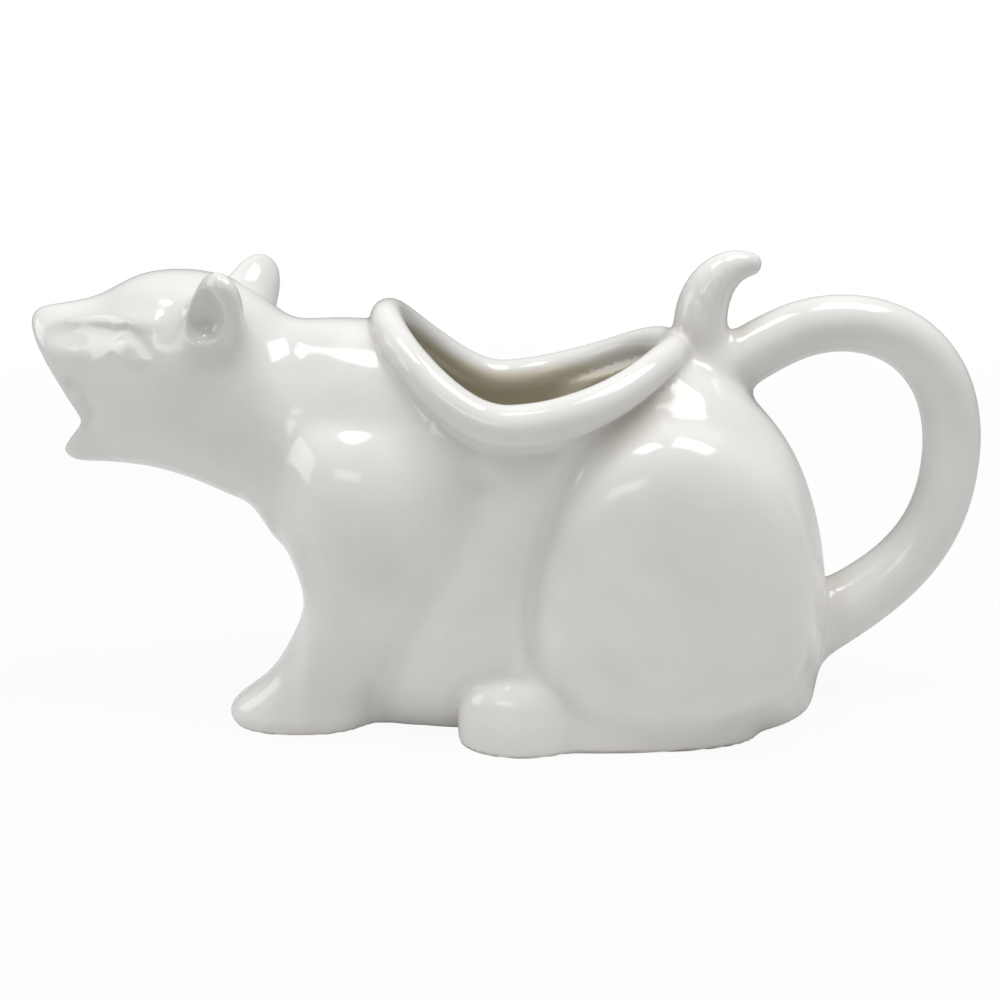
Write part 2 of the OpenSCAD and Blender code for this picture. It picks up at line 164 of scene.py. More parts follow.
def smooth_line(*knots):
    """Function that reads the smoothest cubic line through knots (place, value)."""
    at, value = np.array(sorted(knots), float).T
    gap = np.diff(at)
    rise = np.diff(value) / gap
    count = len(at)
    system = np.zeros((count, count))
    right = np.zeros(count)
    system[0, :2] = 2, 1
    system[-1, -2:] = 1, 2
    right[0], right[-1] = 3 * rise[0], 3 * rise[-1]
    for i in range(1, count - 1):
        system[i, i - 1:i + 2] = gap[i], 2 * (gap[i - 1] + gap[i]), gap[i - 1]
        right[i] = 3 * (gap[i] * rise[i - 1] + gap[i - 1] * rise[i])
    slope = np.linalg.solve(system, right)

    def read(u):
        i = np.clip(np.searchsorted(at, u) - 1, 0, count - 2)
        t = np.clip((u - at[i]) / gap[i], 0, 1)
        s = 1 - t
        bend = gap[i] * (slope[i] * t * s * s - slope[i + 1] * t * t * s)
        return value[i] * (1 + 2 * t) * s * s + value[i + 1] * t * t * (3 - 2 * t) + bend

    return read


def distance_of(form, p, step=0.1):
    """Distance to a form's surface, from a function that is 0 there and its slope."""
    slope = 0
    for axis in np.eye(3) * step:
        slope = slope + ((form(p + axis) - form(p - axis)) / (2 * step)) ** 2
    return form(p) / np.sqrt(np.maximum(slope, 1e-6))


def near(box, form, p):
    """A part's distance close to its box, and a far value elsewhere."""
    low, high = box
    close = np.all((p > low - REACH) & (p < high + REACH), axis=1)
    d = np.full(len(p), FAR)
    if close.any():
        d[close] = np.minimum(form(p[close]), FAR)
    return d


# Lines of the trunk along x: crown and back, throat and belly, half width, and height of the widest line


def head_x(share):
    """Place at a share of the way from the neck to the nose."""
    return NECK_X - share * HEAD_L


top_line = smooth_line(
    (head_x(1.0), CROWN_Z - 7.0), (head_x(0.82), CROWN_Z - 5.8), (head_x(0.7), CROWN_Z - 4.1),
    (head_x(0.58), CROWN_Z - 1.3), (head_x(0.45), CROWN_Z), (head_x(0.22), CROWN_Z - 1.4),
    (head_x(0.1), mix(NAPE_Z, CROWN_Z, 0.46)), (NECK_X, NAPE_Z), (-40, BACK_Z + 1.3),
    (-30, BACK_Z + 1.1), (CREST_X, BACK_Z + 0.5), (0, BACK_Z - 0.2), (BELLY_X, BACK_Z - 1.2),
    (20, BACK_Z - 2.7), (30, BACK_Z - 4.0), (40, BACK_Z - 5.2), (50, BACK_Z - 6.3),
    (RUMP_X, BACK_Z - 8.3))

under_line = smooth_line(
    (head_x(1.0), CHIN_Z), (head_x(0.64), CHIN_Z), (head_x(0.48), mix(THROAT_Z, CHIN_Z, 0.95)),
    (head_x(0.34), mix(THROAT_Z, CHIN_Z, 0.84)), (head_x(0.21), mix(THROAT_Z, CHIN_Z, 0.7)),
    (head_x(0.1), mix(THROAT_Z, CHIN_Z, 0.51)), (head_x(0.04), mix(THROAT_Z, CHIN_Z, 0.28)),
    (NECK_X, THROAT_Z + 3.8), (-44.2, 24.8), (-42.6, 19), (-40.8, 10), (-39, 1), (-36.5, -5), (-33, -8.3),
    (-28, -BELOW_TABLE), (BELLY_X, -BELOW_TABLE), (RUMP_X, -BELOW_TABLE))

half_line = smooth_line(
    (head_x(1.0), MUZZLE - 2), (head_x(0.8), MUZZLE), (head_x(0.6), mix(CHEEK, MUZZLE, 0.42)),
    (head_x(0.42), CHEEK), (head_x(0.25), CHEEK), (head_x(0.12), mix(NECK, CHEEK, 0.7)),
    (NECK_X, NECK), (-40, mix(FLANK, NECK, 0.725)), (-30, mix(FLANK, NECK, 0.455)),
    (-20, mix(FLANK, NECK, 0.224)), (CREST_X, mix(FLANK, NECK, 0.088)), (0, mix(FLANK, NECK, 0.018)),
    (BELLY_X, FLANK), (30, FLANK), (RUMP_X, FLANK))

widest_line = smooth_line(
    (head_x(1.0), 64), (head_x(0.45), 66.5), (head_x(0.1), 59.4), (NECK_X, 52.5), (-43, 43),
    (-36, 40), (-25, 39.5), (CREST_X, 35), (BELLY_X, 31), (30, 26.5), (50, 17.5), (RUMP_X, 9))


# Powers of the trunk's rounded sections, and where they change: 2 gives an ellipse, more a squarer line
NECK_POWER, BACK_POWER, NECK_RUN = 2.15, 2.5, 40
SADDLE_POWER, SADDLE_X, SADDLE_RUN = 0.43, 3.5, 12
BREAST_POWER, BELLY_POWER, BREAST_X, BREAST_RUN = 2.35, 4.5, -14, 28
GROUND_POWER, FLANK_POWER, GROUND_RUN = 2.3, 2.7, 18


def up_round(x):
    """Power of the section above the widest line."""
    saddle = np.exp(-((x - SADDLE_X) / SADDLE_RUN) ** 2)
    return mix(NECK_POWER, BACK_POWER, ease((x - NECK_X) / NECK_RUN)) + SADDLE_POWER * saddle


def low_round(x):
    """Power of the section below the widest line."""
    return mix(BREAST_POWER, BELLY_POWER, ease((x - BREAST_X) / BREAST_RUN))


def plan_round(z):
    """Power of the rump's outline, seen from above."""
    return mix(GROUND_POWER, FLANK_POWER, ease(z / GROUND_RUN))


def thigh_form(p):
    """Below 0 inside the thighs, which lie on both flanks like flat pebbles."""
    x = p[:, 0] - THIGH_MIDDLE[0]
    z = p[:, 2] - THIGH_MIDDLE[2]
    along = x / np.where(x < 0, THIGH_HALF[0], THIGH_BEHIND)
    up = z / np.where(z > 0, THIGH_HALF[2], THIGH_DROP)
    out = np.abs(np.abs(p[:, 1]) - THIGH_MIDDLE[1]) / THIGH_HALF[1]
    flat = np.hypot(along, up) ** THIGH_PLAN_POWER
    return (flat + out ** THIGH_OUT_POWER) ** (1 / THIGH_OUT_POWER) - 1


def foot_form(p):
    """Below 0 inside the hind feet, which run along the ground under the thighs."""
    x = p[:, 0] - FOOT_MIDDLE[0]
    z = p[:, 2] - FOOT_MIDDLE[2]
    along = x / np.where(x > 0, FOOT_HALF[0], FOOT_AHEAD)
    out = np.abs(np.abs(p[:, 1]) - FOOT_MIDDLE[1]) / FOOT_HALF[1]
    plan = (np.abs(along) ** FOOT_POWER + out ** FOOT_POWER) ** (1 / FOOT_POWER)
    return np.hypot(plan, z / FOOT_HALF[2]) - 1


def trunk_form(p):
    """Below 0 inside the head, neck and body taken as one form."""
    x, y, z = p.T
    middle = widest_line(x)
    half = half_line(x)
    side = np.abs(y) / half
    run = np.maximum(x - BELLY_X, 0) / (RUMP_X - BELLY_X)
    turn = plan_round(z)
    plan = (side ** turn + run ** turn) ** (1 / turn)
    above = z > middle
    reach = np.where(above, top_line(x) - middle, middle - under_line(x))
    n = np.where(above, up_round(x), low_round(x))
    return (plan ** n + (np.abs(z - middle) / reach) ** n) ** (1 / n) - 1


# Twice the radii of the muzzle's front, across and upright, and how far back that front reaches
NOSE_ACROSS, NOSE_UPRIGHT = 20, 130
MUZZLE_REACH = 25


def nose_front(p):
    """Distance ahead of the rounded front of the muzzle."""
    x, y, z = p.T
    return NOSE_X + y * y / NOSE_ACROSS + (z - NOSE_Z) ** 2 / NOSE_UPRIGHT - x


def stroke(p, line, width):
    """1 on a line drawn on the jug's sides, fading out over a width."""
    at = p[:, [0, 2]]
    away = np.full(len(p), 1e4)
    for a, b in zip(line, line[1:]):
        run = b - a
        t = np.clip((at - a) @ run / (run @ run), 0, 1)
        rest = at - a - t[:, None] * run
        away = np.minimum(away, (rest * rest).sum(1))
    return np.exp(-away / width ** 2)


def on_head(*points):
    """Points given from the tip of the nose and the crown."""
    return np.array(points) + [NOSE_X, CROWN_Z]


BROW = on_head((5.4, -9.0), (8.3, -8.2), (15.0, -7.9), (18.2, -7.9), (23.4, -7.9), (27.3, -8.2))
NOSE_SIDE = on_head((7.1, -10.7), (12.1, -10.5), (17.2, -10.2))
PAD = on_head((3.4, -12.2), (7.2, -13.6), (11.0, -14.0))
UPPER_LID = on_head((18.2, -11.2), (20.4, -10.1), (22.4, -9.7), (24.6, -10.8), (26.8, -12.8))
LOWER_LID = on_head((19.4, -13.6), (21.2, -14.5), (23.5, -14.8), (26.3, -14.3))
LIP_FOLD = on_head((9.4, -20.6), (11.9, -21.6), (13.8, -25.0), (13.4, -26.5), (11.9, -27.4))
EYE = on_head((22.6, -12.0))[0]
EYE_HALF, EYE_HEIGHT = (4.6, 2.4), 0.6
LID_SHIFT, LID_REACH = 0.5, 4
FACE_FROM, FACE_FADE = 3, 5

# Each line of the face with its height over the skin, below 0 for a fold, and its width
FACE_LINES = ((BROW, 0.5, 1.7), (PAD, 0.4, 2.8), (NOSE_SIDE, -0.5, 2.6), (LIP_FOLD, -0.45, 1.3))
LID_LINES = ((LOWER_LID, 0.3, 1.4), (UPPER_LID, -0.55, 1.2))


def face(p):
    """How far the brows, eyes and whisker pads stand out of the sides of the head, less the folds."""
    x, y, z = p.T
    ball = ((x - EYE[0]) / EYE_HALF[0]) ** 2 + ((z - EYE[1]) / EYE_HALF[1]) ** 2
    height = EYE_HEIGHT * np.exp(-ball)
    for line, rise, width in FACE_LINES:
        height += rise * stroke(p, line, width)
    lids = np.exp(-((x - EYE[0] - LID_SHIFT) / LID_REACH) ** 4)
    for line, rise, width in LID_LINES:
        height += rise * lids * stroke(p, line, width)
    return height * ease((np.abs(y) - FACE_FROM) / FACE_FADE)


# Valleys: the line behind each shoulder, the ring round a thigh as shares of its size, and their fading
SHOULDER = np.array([(-9.7, 50.6), (-14.8, 37.5), (-18.5, 31.7), (-23.2, 24.9), (-27.1, 14.0),
                     (-31.1, 5.9)])
SHOULDER_DEPTH, SHOULDER_WIDTH = 1.5, 4.0
THIGH_VALLEY = 2.6
RING_AT, RING_WIDTH = 1.09, 0.13
RING_END, RING_FADE = 6, 14
RING_FOOT, RING_RISE = 10, 12
VALLEY_FROM, VALLEY_FADE = 6, 8


def valleys(p):
    """Depth of the soft valleys behind the shoulders and ahead of the thighs."""
    x, y, z = p.T
    behind = SHOULDER_DEPTH * stroke(p, SHOULDER, SHOULDER_WIDTH)
    along = (x - THIGH_MIDDLE[0]) / THIGH_HALF[0]
    up = (z - THIGH_MIDDLE[2]) / np.where(z > THIGH_MIDDLE[2], THIGH_HALF[2], THIGH_DROP)
    ring = np.exp(-((np.hypot(along, up) - RING_AT) / RING_WIDTH) ** 2)
    front = ease((THIGH_MIDDLE[0] + RING_END - x) / RING_FADE)
    ahead = THIGH_VALLEY * ring * front * ease((z - RING_FOOT) / RING_RISE)
    return (behind + ahead) * ease((np.abs(y) - VALLEY_FROM) / VALLEY_FADE)


def trunk(p):
    """Distance to the head, neck and body with relief, thighs and hind feet, not yet hollowed."""
    d = distance_of(trunk_form, p)
    head = p[:, 0] < NECK_X
    d[head] -= face(p[head])
    d[~head] += valleys(p[~head])
    behind = p[:, 0] > THIGH_MIDDLE[0] - THIGH_HALF[0] - REACH
    d[behind] = join(d[behind], distance_of(foot_form, p[behind]), THIGH_FILLET)
    rear = ease((p[behind, 0] - THIGH_MIDDLE[0] - REAR_FROM) / REAR_RUN)
    fillet = mix(THIGH_FILLET, REAR_FILLET, rear)
    d[behind] = join(d[behind], distance_of(thigh_form, p[behind]), fillet)
    ahead = p[:, 0] < NOSE_X + MUZZLE_REACH
    d[ahead] = keep(d[ahead], nose_front(p[ahead]), MUZZLE_ROUND)
    return d


def mouth_gap(p):
    """Distance to the open wedge between the lips."""
    x, _, z = p.T
    up, low = math.radians(UPPER_LIP), math.radians(LOWER_LIP)
    dx, dz = x - MOUTH_X, z - MOUTH_Z
    over = dz * -math.cos(up) + dx * math.sin(up)
    under = dz * math.cos(low) - dx * math.sin(low)
    return keep(over, under, MOUTH_ROUND)


# Ears: the right one's foot and tip, width and depth, its hollow as shares of width, depth and height,
# and how far the hollow sinks into the head
EAR_MIDDLE = (ear_low[0] + ear_high[0]) / 2
EAR_FOOT = np.array([EAR_MIDDLE - 1.4, ear_low[1] + 2.4, ear_low[2] + 0.4])
EAR_TIP = np.array([EAR_MIDDLE + 3.2, ear_high[1] + 0.6, ear_high[2] - 2.0])
EAR_FACING = np.array([-0.6, 0.75, -0.2])
EAR_W, EAR_D = 12.0, 8.0
EAR_POWER = 2.3
CUP_MIDDLE = np.array([0, 0.45, 0.5])
CUP_HALF = np.array([0.34, 0.48, 0.36])
CUP_SINK = 0.8


def unit(v):
    return v / np.linalg.norm(v)


def ear_frame(side):
    """Foot, height and axes (across, facing, up) of an ear."""
    mirror = np.array([1, side, 1])
    foot, tip = EAR_FOOT * mirror, EAR_TIP * mirror
    height = np.linalg.norm(tip - foot)
    up = (tip - foot) / height
    facing = EAR_FACING * mirror
    facing = unit(facing - facing @ up * up)
    return foot, height, np.stack([np.cross(up, facing), facing, up], 1)


def ear(side):
    """Distance to an upright ear, not yet hollowed."""
    foot, height, axes = ear_frame(side)

    def form(p):
        across, out, rise = ((p - foot) @ axes).T
        plan = np.hypot(across / (EAR_W / 2), out / (EAR_D / 2))
        up = np.maximum(rise / height, 0)
        return (plan ** EAR_POWER + up ** EAR_POWER) ** (1 / EAR_POWER) - 1

    return lambda p: distance_of(form, p)


def ear_cup(side):
    """Distance to the hollow of an ear, which faces ahead and to its side."""
    foot, height, axes = ear_frame(side)
    size = np.array([EAR_W, EAR_D, height])

    def form(p):
        q = ((p - foot) @ axes - size * CUP_MIDDLE) / (size * CUP_HALF)
        return np.sqrt((q * q).sum(1)) - 1

    return lambda p: distance_of(form, p)


# Forelegs: level sections (z, middle x, half length, middle y, half width), with y counted outwards
FORELEG = [(0, -44.6, 13.2, 13.5, 7.7), (2.5, -44.9, 14.0, 13.5, 8.2), (5, -44.2, 13.2, 13.5, 8.0),
           (8, -42.0, 11.5, 13.5, 7.8), (13.6, -37.9, 10.6, 13.8, 8.0), (20, -34.3, 10.7, 14.0, 9.0),
           (27, -31.4, 10.4, 14.5, 10.3), (35, -30.0, 12.6, 15.4, 11.8), (43, -29.4, 15.4, 15.6, 12.8),
           (52, -29.2, 15.6, 15.4, 11.6), (62, -30.0, 11.0, 14.6, 7.5)]
LEG_POWER = 2.2
LEG_TOP = 60.0
ELBOW_Z = 40

# Hind paw on the right, which is mirrored to the left
HIND_PAW_MIDDLE = np.array([-1.6, 22.5, 3.4])
HIND_PAW_HALF = np.array([12.2, 8.2, 10.9])
HIND_PAW_POWER = 2.6


def standing(levels):
    """Distance to a leg through level sections (z, middle x, half length, middle y, half width)."""
    lines = [smooth_line(*[(level[0], level[k]) for level in levels]) for k in range(1, 5)]

    def form(p):
        x, y, z = p.T
        mid_x, half_l, mid_y, half_w = [line(z) for line in lines]
        along, out = np.abs(x - mid_x) / half_l, np.abs(y - mid_y) / half_w
        return (along ** LEG_POWER + out ** LEG_POWER) ** (1 / LEG_POWER) - 1

    return lambda p: keep(distance_of(form, p), p[:, 2] - LEG_TOP, LEG_TOP_ROUND)


def foreleg(side, back):
    """Distance to a foreleg whose paw stands back by a length, and which bends below its elbow."""
    return standing([(z, x + back * max(0, 1 - z / ELBOW_Z), half_l, side * y, half_w)
                     for z, x, half_l, y, half_w in FORELEG])


def hind_paw(side):
    """Distance to a hind paw, a low pebble at the foot of the thigh."""
    middle = HIND_PAW_MIDDLE * [1, side, 1]

    def form(p):
        x, y, z = ((p - middle) / HIND_PAW_HALF).T
        plan = np.hypot(x, y)
        return (plan ** HIND_PAW_POWER + np.abs(z) ** HIND_PAW_POWER) ** (1 / HIND_PAW_POWER) - 1

    return lambda p: distance_of(form, p)


# Rim, tail and thumb rest: where the back's height is looked for, and the steps round the rim
BACK_LOWEST, BACK_HIGHEST = 30.0, 90.0
HALVINGS = 40
RIM_TURN = np.arange(120) * math.pi / 60


def skin_height(x, y):
    """Height of the back's outer skin over a point, by halving the span that it lies in."""
    low, high = np.full(len(x), BACK_LOWEST), np.full(len(x), BACK_HIGHEST)
    for _ in range(HALVINGS):
        z = (low + high) / 2
        inside = trunk_form(np.stack([x, y, z], 1)) < 0
        low, high = np.where(inside, z, low), np.where(inside, high, z)
    return low


def rim_measure(x, y):
    """1 on the rim's line, seen from above: an ellipse behind, squarer in front."""
    power = np.where(x < 0, RIM_SQUARE, 2.0)
    return (np.abs(x) ** power + np.abs(y) ** power) ** (1 / power)


def rim_path(turn):
    """Points along the middle of the rim's roll."""
    spread = 1 / rim_measure(np.cos(turn), np.sin(turn))
    x = (rim_high[0] - RIM_END_R - RIM_INSET) * np.cos(turn) * spread
    y = (rim_high[1] - RIM_R) * np.sin(turn) * spread
    return np.stack([x, y, skin_height(x, y) + RIM_LIFT], 1)


def tube(path, radii, closed=False):
    """Distance to a tube along points, with a radius at each."""
    starts = path if closed else path[:-1]
    ends = np.roll(path, -1, 0) if closed else path[1:]
    r0 = radii if closed else radii[:-1]
    r1 = np.roll(radii, -1) if closed else radii[1:]

    def form(p):
        best = np.full(len(p), 1e3)
        for a, b, ra, rb in zip(starts, ends, r0, r1):
            run = b - a
            t = np.clip((p - a) @ run / (run @ run), 0, 1)
            away = p - a - t[:, None] * run
            best = np.minimum(best, np.sqrt((away * away).sum(1)) - mix(ra, rb, t))
        return best

    return form


def bezier(points, count):
    """Points along a cubic curve with four control points."""
    a, b, c, d = [np.array(q, float) for q in points]
    t = np.linspace(0, 1, count)[:, None]
    s = 1 - t
    return a * s ** 3 + 3 * b * s * s * t + 3 * c * s * t * t + d * t ** 3


# Tail and thumb rest: radii, where the tail starts behind the rim and under the skin, and its bends
TAIL_R = 5.4
TAIL_ROOT_R = 7.5
THUMB_R, THUMB_TIP_R = 5.4, 2.2
ROOT_BEHIND = 2.5
ROOT_DEPTH = 3.0
TAIL_BACK_Z = 50.3
TAIL_END_Z = 13.0
TAIL_STEPS, THUMB_STEPS = 28, 32
TAIL_BEND, LOWER_BEND = 0.6, 0.52


def tail_root():
    """Upper root of the tail in the middle plane (x, z)."""
    x = rim_high[0] + ROOT_BEHIND
    return np.array([x, skin_height(np.array([x]), np.zeros(1))[0] - ROOT_DEPTH])


def in_middle_plane(path):
    """Points (x, z) as points in space."""
    return np.stack([path[:, 0], 0 * path[:, 0], path[:, 1]], 1)


def tail_tube():
    """Distance to the tail, from its upper root over the top and back of the loop to its lower root."""
    root = tail_root()
    top = np.array([RUMP_X + 1, tail_high[2] - TAIL_R])
    back = np.array([tail_high[0] - TAIL_R, TAIL_BACK_Z])
    end = np.array([RUMP_X - 4, TAIL_END_Z])
    curves = [
        [root, root + [10, 4.6], top - [11, 0], top],
        [top, [mix(top[0], back[0], TAIL_BEND), top[1]],
         [back[0], mix(back[1], top[1], TAIL_BEND)], back],
        [back, [back[0], mix(back[1], end[1], LOWER_BEND)], end + [17, 9.4], end]]
    radii = [TAIL_R + 0.2, TAIL_R, TAIL_R, TAIL_ROOT_R]
    path = np.concatenate([bezier(curve, TAIL_STEPS) for curve in curves])
    share = np.linspace(0, 1, TAIL_STEPS) ** 2
    sizes = np.concatenate([mix(a, b, share) for a, b in zip(radii, radii[1:])])
    fresh = np.append(True, np.hypot(*np.diff(path, axis=0).T) > 1e-6)
    return tube(in_middle_plane(path[fresh]), sizes[fresh])


def thumb_tube():
    """Distance to the thumb rest, which rises from the tail's upper root and turns back."""
    foot = tail_root() + [0, ROOT_DEPTH]
    tip = np.array([thumb_high[0] - THUMB_TIP_R, thumb_high[2] - THUMB_TIP_R - 0.5])
    path = bezier([foot, foot + [-2.8, 9], tip - [8, 0], tip], THUMB_STEPS)
    sizes = mix(THUMB_R, THUMB_TIP_R, np.linspace(0, 1, THUMB_STEPS) ** 2.2)
    return tube(in_middle_plane(path), sizes)


STRIDE = BOXES["right_foreleg"][0][0] - BOXES["left_foreleg"][0][0]
limb_forms = {
    "left_ear": (ear(-1), EAR_FILLET), "right_ear": (ear(1), EAR_FILLET),
    "left_foreleg": (foreleg(-1, 0), LEG_FILLET), "right_foreleg": (foreleg(1, STRIDE), LEG_FILLET),
    "left_hind_paw": (hind_paw(-1), PAW_FILLET), "right_hind_paw": (hind_paw(1), PAW_FILLET)}
ear_cups = {"left_ear": ear_cup(-1), "right_ear": ear_cup(1)}
RIM_PATH = rim_path(RIM_TURN)
RIM_LEVEL = smooth_line(*[(place[0], place[2]) for place in RIM_PATH[:len(RIM_PATH) // 2 + 1:4]])
rim_form = tube(RIM_PATH, mix(RIM_END_R, RIM_SIDE_R, np.sin(RIM_TURN) ** 4), closed=True)
tail_form = tail_tube()
thumb_form = thumb_tube()

# Filling mouth: how its oval's share becomes a distance, how far under the rim's middle it starts, its edge
OPENING_SLOPE = 0.9
OPENING_UNDER = RIM_R * 0.5
OPENING_EDGE = 0.5


def fill_opening(p):
    """Distance to the upright oval that opens the back, from just under the rim's middle upwards."""
    x, y, z = p.T
    half_w = rim_high[1] - RIM_R
    across = rim_measure(x / (rim_high[0] - RIM_R), y / half_w) - 1
    return keep(across * OPENING_SLOPE * half_w, RIM_LEVEL(x) - OPENING_UNDER - z, OPENING_EDGE)


def joined_parts(p, main):
    """Distances to the parts that are joined to the trunk, and to the trunk with all of them on it."""
    parts = {}
    outer = main
    for name, (form, fillet) in limb_forms.items():
        parts[name] = near(BOXES[name], form, p)
        outer = join(outer, parts[name], fillet)
    for name, cup in ear_cups.items():
        hollow = np.maximum(near(BOXES[name], cup, p), -(main + CUP_SINK))
        outer = keep(outer, -hollow, CUP_ROUND)
    parts["tail_handle"] = near(BOXES["tail_handle"], tail_form, p)
    parts["thumb_rest"] = near(BOXES["thumb_rest"], thumb_form, p)
    handle = join(parts["tail_handle"], parts["thumb_rest"], THUMB_FILLET)
    return parts, join(outer, handle, TAIL_FILLET)


def hollowed(solid, cavity, opening, gap):
    """A solid less the milk cavity, the filling mouth and the gap between the lips."""
    shell = keep(solid, -cavity, CAVITY_ROUND)
    shell = keep(shell, -opening, OPENING_ROUND)
    return keep(shell, -gap, LIP_ROUND)


def distances(p):
    """Distances to each part, with the trunk as a shell, and to the whole jug."""
    main = trunk(p)
    z = p[:, 2]
    parts, outer = joined_parts(p, main)
    for name in parts:
        parts[name] = np.maximum(parts[name], -(main + WALL / 2))
    hollows = keep(main + WALL, WALL - z, CAVITY_FLOOR_ROUND), fill_opening(p), mouth_gap(p)
    parts["rolled_rim"] = near(BOXES["rolled_rim"], rim_form, p)
    parts["trunk"] = hollowed(main, *hollows)
    whole = hollowed(keep(outer, -z, BASE_ROUND), *hollows)
    return parts, join(whole, parts["rolled_rim"], RIM_FILLET)


def jug(p):
    """Distance to the whole jug."""
    return distances(p)[1]


def in_chunks(function, p, size=150000):
    """Values of a function at many points, a chunk at a time to save memory."""
    return np.concatenate([function(p[i:i + size]) for i in range(0, len(p), size)])


def claims(p):
    """How near each piece is: the least of them owns a point of the skin."""
    parts, _ = distances(p)
    x = p[:, 0]
    table = [np.maximum(parts["trunk"], NECK_X - x), np.maximum(parts["trunk"], x - NECK_X)]
    table += [parts[name] for name in PIECES[2:]]
    return np.stack(table, 1)


# Meshing: the owner of empty grid points, cells left free round the jug, and limits for moving points
AIR = -1
MARGIN_CELLS = 2.5
LEAST_SLOPE = 0.05
LONGEST_MOVE = 0.6
SINK_DEPTH = 0.7 * CELL
RELAX_ROUNDS, RELAX_SHARE = 3, 0.6
CORNERS = np.array([[i, j, k] for i in (0, 1) for j in (0, 1) for k in (0, 1)])
EDGES = [(a, b) for a in CORNERS for b in CORNERS if (b - a).sum() == 1 and (b - a).min() == 0]


def grid_axes():
    """Places of the grid's points along x, y and z."""
    low = np.min([box[0] for box in BOXES.values()], 0) - MARGIN_CELLS * CELL
    high = np.max([box[1] for box in BOXES.values()], 0) + MARGIN_CELLS * CELL
    counts = np.ceil((high - low) / CELL).astype(int) + 1
    return [low[a] + CELL * np.arange(counts[a]) for a in range(3)]


def at_corner(values, corner):
    """Values of a grid at one corner of each of its cells."""
    cells = np.array(values.shape) - 1
    i, j, k = corner
    return values[i:i + cells[0], j:j + cells[1], k:k + cells[2]]


def cell_places(d, label, active):
    """Place within each active cell: the middle of its crossings of the skin, or of a joint."""
    total = np.zeros((2, active.sum(), 3))
    hits = np.zeros((2, active.sum()))
    for a, b in EDGES:
        la, lb = at_corner(label, a)[active], at_corner(label, b)[active]
        da, db = at_corner(d, a)[active], at_corner(d, b)[active]
        skin = (la == AIR) != (lb == AIR)
        joint = (la != lb) & ~skin
        t = np.where(skin, da / np.where(skin, da - db, 1), 0.5)
        place = a + t[:, None] * (b - a)
        for k, cross in enumerate((skin, joint)):
            total[k] += place * cross[:, None]
            hits[k] += cross
    middle = total / np.maximum(hits, 1)[:, :, None]
    return np.where((hits[0] > 0)[:, None], middle[0], middle[1])


def grid_faces(label, number):
    """Quads between grid points of two owners, with the owner in front of and behind each."""
    quads, owners = [], []
    for axis in range(3):
        u, v = (axis + 1) % 3, (axis + 2) % 3
        ahead = np.take(label, range(1, label.shape[axis]), axis)
        behind = np.take(label, range(label.shape[axis] - 1), axis)
        spots = np.argwhere(ahead != behind)
        ring = []
        for du, dv in ((1, 1), (0, 1), (0, 0), (1, 0)):
            cell = spots.copy()
            cell[:, u] -= du
            cell[:, v] -= dv
            ring.append(number[tuple(cell.T)])
        quads.append(np.stack(ring, 1))
        owners.append(np.stack([behind[tuple(spots.T)], ahead[tuple(spots.T)]], 1))
    return np.concatenate(quads), np.concatenate(owners)


def gather(label):
    """Hands each grid point next to the air to the piece behind it, so that no flakes are left there."""
    for _ in range(2):
        for axis in range(3):
            for step in (1, -1):
                ahead, behind = np.roll(label, step, axis), np.roll(label, -step, axis)
                flake = (ahead == AIR) & (label != AIR) & (behind != AIR)
                label = np.where(flake, behind, label)
    return label


def grid_pieces():
    """Points of the whole jug, and its quads with the owner and the neighbour of each."""
    axes = grid_axes()
    p = np.stack(np.meshgrid(*axes, indexing="ij"), -1)
    counts = p.shape[:3]
    p = p.reshape(-1, 3)
    d = in_chunks(jug, p)
    label = np.full(len(p), AIR)
    label[d < 0] = np.argmin(in_chunks(claims, p[d < 0]), 1)
    d, label = d.reshape(counts), gather(label.reshape(counts))
    first = at_corner(label, CORNERS[0])
    active = np.any([at_corner(label, c) != first for c in CORNERS[1:]], 0)
    number = np.full(active.shape, -1)
    number[active] = np.arange(active.sum())
    low = np.array([axis[0] for axis in axes])
    points = low + CELL * (np.argwhere(active) + cell_places(d, label, active))
    quads, owners = grid_faces(label, number)
    quads = np.concatenate([quads, quads[:, ::-1]])
    owners = np.concatenate([owners, owners[:, ::-1]])
    real = owners[:, 0] != AIR
    return points, quads[real], owners[real, 0], owners[real, 1]


TETRAHEDRON = np.array([[1, -1, -1], [-1, -1, 1], [-1, 1, -1], [1, 1, 1]])


def slope_of(function, p, step=0.03):
    """Mean value and slope of a function round points."""
    value, slope = 0, 0
    for corner in TETRAHEDRON:
        f = in_chunks(function, p + step * corner)
        value = value + f / 4
        slope = slope + f[:, None] * corner / (4 * step)
    return value, slope


def settle(p, rounds):
    """Moves points along the slope on to the skin, and gives the skin's direction there."""
    for _ in range(rounds):
        value, slope = slope_of(jug, p)
        size = np.maximum((slope * slope).sum(1), LEAST_SLOPE)
        p = p - np.clip(value / size, -LONGEST_MOVE, LONGEST_MOVE)[:, None] * slope
    return p, slope / np.sqrt(np.maximum((slope * slope).sum(1), 1e-9))[:, None]


def relax(p, quads, share):
    """Moves each point towards the middle of its neighbours."""
    edges = np.concatenate([quads[:, [k, (k + 1) % 4]] for k in range(4)])
    total = np.zeros_like(p)
    count = np.zeros(len(p))
    for a, b in ((0, 1), (1, 0)):
        np.add.at(total, edges[:, a], p[edges[:, b]])
        np.add.at(count, edges[:, a], 1)
    return mix(p, total / np.maximum(count, 1)[:, None], share)


def sink(p):
    """Moves the points of hidden joints well under the skin."""
    value, slope = slope_of(jug, p)
    size = np.sqrt(np.maximum((slope * slope).sum(1), 1e-6))
    return p - (np.maximum(value + SINK_DEPTH, 0) / size)[:, None] * slope


